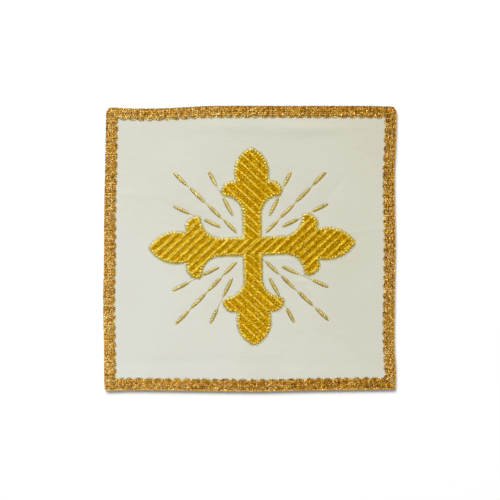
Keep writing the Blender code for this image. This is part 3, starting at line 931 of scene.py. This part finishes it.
def round_corners(x, y, half_x, half_y):
    """Places of the grid with the square's corners drawn in to arcs."""
    radius = CLOTH_CORNER_RADIUS
    p = np.clip((np.abs(x) - (half_x - radius)) / radius, 0, 1)
    q = np.clip((np.abs(y) - (half_y - radius)) / radius, 0, 1)
    corner = (p > 0) & (q > 0)
    new_x = np.where(corner, half_x - radius + radius * p * np.sqrt(1 - q * q / 2), np.abs(x))
    new_y = np.where(corner, half_y - radius + radius * q * np.sqrt(1 - p * p / 2), np.abs(y))
    return np.sign(x) * new_x, np.sign(y) * new_y


def follow_edges(x, y, half_x, half_y):
    """Places of the grid, shifted so that the cloth's edges stray as the braid does."""
    push_x = np.where(x > 0, stray("right", y / half_y), -stray("left", -y / half_y))
    push_y = np.where(y > 0, stray("back", -x / half_x), -stray("front", x / half_x))
    place = x + push_x * (x / half_x) ** 2 + 1j * (y + push_y * (y / half_y) ** 2)
    return place - CENTRE


def folds(place):
    """Height of the cloth's folds and puckers, less the dents under the rays."""
    total = np.zeros(place.shape)
    for middle, degrees, length, width, height, bend in PUCKERS:
        local = (place - CROSS_CENTRE - middle) * cmath.rect(1, -math.radians(degrees))
        across = local.imag + bend * local.real ** 2
        total += height * np.exp(-(local.real / length * 2) ** 2 - (across / width * 2) ** 2)
    for _, _, inner, outer in RAYS:
        unit = (outer - inner) / abs(outer - inner)
        local = (place - CROSS_CENTRE - inner) / unit
        past = np.maximum(np.maximum(-local.real, local.real - abs(outer - inner)), 0)
        fading = -(past / RAY_DENT_END) ** 2 - (local.imag / RAY_DENT_WIDTH) ** 2
        total -= RAY_DENT * np.exp(fading)
    return total


def closed_sheet(shape):
    """Faces of an upper and a lower grid of points that share the points of their rim."""
    upper = np.arange(shape[0] * shape[1]).reshape(shape)
    lower = upper + upper.size
    rim = np.zeros(shape, bool)
    rim[[0, -1]] = True
    rim[:, [0, -1]] = True
    lower[rim] = upper[rim]

    def faces(grid):
        corners = [grid[:-1, :-1], grid[1:, :-1], grid[1:, 1:], grid[:-1, 1:]]
        return np.stack(corners, axis=-1).reshape(-1, 4)

    return np.concatenate([faces(upper), faces(lower)[:, ::-1]])


def cloth(material):
    """The stiffened square as one closed sheet, its corners and edges round."""
    half_x, half_y = (size / 2 - CLOTH_INSIDE_BRAID for size in (PALL_WIDTH, PALL_DEPTH))
    x, y = np.meshgrid(grid_lines(-half_x, half_x), grid_lines(-half_y, half_y), indexing="ij")
    inset = np.minimum(half_x - np.abs(x), half_y - np.abs(y))
    place = follow_edges(*round_corners(x, y, half_x, half_y), half_x, half_y)
    bulge = np.sqrt(1 - np.clip(1 - inset / CLOTH_EDGE_RADIUS, 0, 1) ** 2)
    half = CLOTH_TOP / 2
    top = half + (half - FACE_DROP) * bulge + folds(place) * np.clip(inset / FOLD_MARGIN, 0, 1)
    bottom = half - half * bulge
    points = np.concatenate([raised(place, top), raised(place, bottom)]).reshape(-1, 3)
    quads = closed_sheet(x.shape)
    used = np.unique(quads)
    renumber = np.zeros(len(points), int)
    renumber[used] = np.arange(len(used))
    piece = mesh_piece("cloth_square", points[used], renumber[quads], [], {}, material)
    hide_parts("cloth")
    return piece


def new_material(name):
    """A material, and functions that add a node or a sum to it or fill its shader's inputs."""
    material = bpy.data.materials.new(name)
    material.use_nodes = True
    tree = material.node_tree

    def fill(socket, value):
        if isinstance(value, bpy.types.NodeSocket):
            tree.links.new(value, socket)
        else:
            socket.default_value = value

    def node(kind, *values, **named):
        """A node with its inputs filled in their order, and inputs and settings by name."""
        made = tree.nodes.new(kind)
        for key, value in named.items():
            if key in made.inputs:
                fill(made.inputs[key], value)
            else:
                setattr(made, key, value)
        for socket, value in zip(made.inputs, values):
            fill(socket, value)
        return made

    def calc(operation, *values, **named):
        return node("ShaderNodeMath", *values, operation=operation, **named).outputs[0]

    def dress(looks):
        for key, value in looks.items():
            fill(tree.nodes["Principled BSDF"].inputs[key], value)

    return material, node, calc, dress


def colour_ramp(node, stops, shade):
    """The colour that a shade from 0 to 1 picks out between the stops."""
    ramp = node("ShaderNodeValToRGB", shade)
    elements = ramp.color_ramp.elements
    while len(elements) < len(stops):
        elements.new(0.5)
    for element, (place, colour) in zip(elements, stops):
        element.position = place
        element.color = (*colour, 1)
    return ramp.outputs[0]


def metal_thread(name, stops, roughness, cell_size, cell_tilt, cell_shade_and_glint, mottling, hue_spread):
    """Thread wound with metal foil: a shade for each stitch, turns of foil, and glints."""
    material, node, calc, dress = new_material(name)
    shade = node("ShaderNodeAttribute", attribute_name="shade").outputs["Fac"]
    thread = node("ShaderNodeAttribute", attribute_name="thread").outputs["Vector"]
    along, around, _ = node("ShaderNodeSeparateXYZ", thread).outputs
    place = node("ShaderNodeTexCoord").outputs["Object"]

    # glints: small cells of foil, each a little tilted
    cells = node("ShaderNodeTexVoronoi", place, Scale=1 / (cell_size * MM)).outputs
    centred = node("ShaderNodeVectorMath", cells["Color"], (0.5, 0.5, 0.5), operation="SUBTRACT")
    tilt = node("ShaderNodeVectorMath", centred.outputs[0], operation="SCALE", Scale=cell_tilt)
    normal = node("ShaderNodeNewGeometry").outputs["Normal"]
    tilted = node("ShaderNodeVectorMath", normal, tilt.outputs[0], operation="ADD")
    unit = node("ShaderNodeVectorMath", tilted.outputs[0], operation="NORMALIZE")

    # turns of foil round the thread
    turns = calc("MULTIPLY", along, math.tau / FOIL_TURN)
    wave = calc("SINE", calc("ADD", turns, around))
    bump = node("ShaderNodeBump", Strength=0.5, Distance=FOIL_RELIEF * MM, Height=wave,
                Normal=unit.outputs[0])

    # colour: the stitch's shade, with its painted light, mottled, and different in each cell of
    # foil, partly as painted glints and shade
    one, other, _ = node("ShaderNodeSeparateColor", cells["Color"]).outputs
    mottle = node("ShaderNodeTexNoise", place, Scale=700.0, Detail=3.0).outputs["Fac"]
    spread = calc("MULTIPLY_ADD", mottle, mottling, -mottling / 2)
    of_cell = calc("MULTIPLY_ADD", one, cell_shade_and_glint, spread)
    of_stitch = calc("SUBTRACT", shade, cell_shade_and_glint / 2)
    colour = colour_ramp(node, stops, calc("ADD", of_stitch, of_cell, use_clamp=True))
    hue_shift = calc("MULTIPLY_ADD", other, hue_spread, 0.5 - hue_spread / 2)
    hue = node("ShaderNodeHueSaturation", Hue=hue_shift, Color=colour)

    # the foil is duller away from the middle of a cell
    dull = node("ShaderNodeMapRange", cells["Distance"], 0.0, 0.7, roughness - 0.1,
                roughness + 0.12)
    dress({"Normal": bump.outputs[0], "Base Color": hue.outputs[0],
           "Roughness": dull.outputs[0], "Metallic": 0.7, "Specular IOR Level": 0.08})
    return material


def cream_cloth():
    """Smooth close-woven cloth: a fine plain weave, slubs, a faint unevenness of tone, and painted
    shade to the right and the back.
    """
    material, node, calc, dress = new_material("cream_cloth")
    place = node("ShaderNodeTexCoord").outputs["Object"]
    x, y, _ = node("ShaderNodeSeparateXYZ", place).outputs

    # relief: the weave, and slubs drawn out along the weft
    warp = calc("SINE", calc("MULTIPLY", x, math.tau / (WARP_PITCH * MM)))
    weft = calc("SINE", calc("MULTIPLY", y, math.tau / (WEFT_PITCH * MM)))
    stretched = node("ShaderNodeMapping", place, Scale=(1.0, 9.0, 1.0)).outputs[0]
    slub = node("ShaderNodeTexNoise", stretched, Scale=170.0, Detail=4.0).outputs["Fac"]
    height = calc("MULTIPLY_ADD", calc("MULTIPLY", warp, weft), 0.35, slub)
    bump = node("ShaderNodeBump", Strength=0.5, Distance=CLOTH_RELIEF * MM, Height=height)

    # tone: soft clouds with the slubs in them, and painted shade, darker and warmer to the right
    # and to the back
    cloud = node("ShaderNodeTexNoise", place, Scale=28.0, Detail=3.0).outputs["Fac"]
    tone = calc("MULTIPLY_ADD", calc("MULTIPLY_ADD", slub, 0.9, cloud), 0.45, 0.056)
    for direction, drift in zip((x, y), CLOTH_PAINTED_SHADE_DRIFT):
        tone = calc("MULTIPLY_ADD", direction, drift, tone)
    dress({"Normal": bump.outputs[0], "Base Color": colour_ramp(node, CLOTH_STOPS, tone),
           "Roughness": 0.82, "Sheen Weight": 0.08, "Specular IOR Level": 0.3})
    return material


def area_light(name, place, size, watts):
    """A round lamp that faces the middle of the part."""
    light = bpy.data.lights.new(name, "AREA")
    light.shape = "DISK"
    light.size = size
    light.energy = watts
    lamp = bpy.data.objects.new(name, light)
    lamp.location = place
    x, y, z = place
    lamp.rotation_euler = (math.atan2(math.hypot(x, y), z), 0, math.atan2(y, x) + math.pi / 2)
    bpy.context.scene.collection.objects.link(lamp)


def studio():
    """Camera, light and floor, as in the photograph."""
    scene = bpy.context.scene
    camera = bpy.data.cameras.new("camera")
    camera.lens = CAMERA_LENS
    camera.sensor_width = SENSOR_WIDTH
    camera.clip_end = CAMERA_REACH
    eye = bpy.data.objects.new("camera", camera)
    eye.location = CAMERA_PLACE
    scene.collection.objects.link(eye)
    scene.camera = eye
    scene.view_settings.view_transform = "Standard"

    world = bpy.data.worlds.new("world")
    world.use_nodes = True
    sky = world.node_tree.nodes["Background"]
    sky.inputs["Color"].default_value = (1, 1, 1, 1)
    sky.inputs["Strength"].default_value = SKY_STRENGTH
    scene.world = world
    area_light("key", LIGHT_PLACE, LIGHT_SIZE, LIGHT_WATTS)

    mesh = bpy.data.meshes.new("floor")
    signs = (-1, -1), (1, -1), (1, 1), (-1, 1)
    mesh.from_pydata([(x * FLOOR_REACH, y * FLOOR_REACH, 0) for x, y in signs], [],
                     [(0, 1, 2, 3)])
    floor = bpy.data.objects.new("floor", mesh)
    material, _, _, dress = new_material("floor")
    dress({"Base Color": (0.97, 0.97, 0.97, 1), "Roughness": 0.9, "Specular IOR Level": 0.1})
    mesh.materials.append(material)
    scene.collection.objects.link(floor)


def main():
    """Make the materials, every piece of the pall, and the studio."""
    gold = {name: metal_thread(name, *looks) for name, looks in METAL_THREADS.items()}
    square = cloth(cream_cloth())
    pieces = braid(gold["braid_gold"])
    for name, groups, material in (("cross_level", level_fill(), "embroidery_gold"),
                                   ("cross_upright", upright_fill(), "embroidery_gold"),
                                   ("cross_ribs", upright_ribs(), "rib_gold_highlight"),
                                   ("cross_rim", rim_threads(), "rim_gold")):
        piece = thread_piece(name, groups, gold[material])
        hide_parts("cross")
        pieces.append(piece)
    pieces += rays(gold["ray_gold"])
    studio()


main()
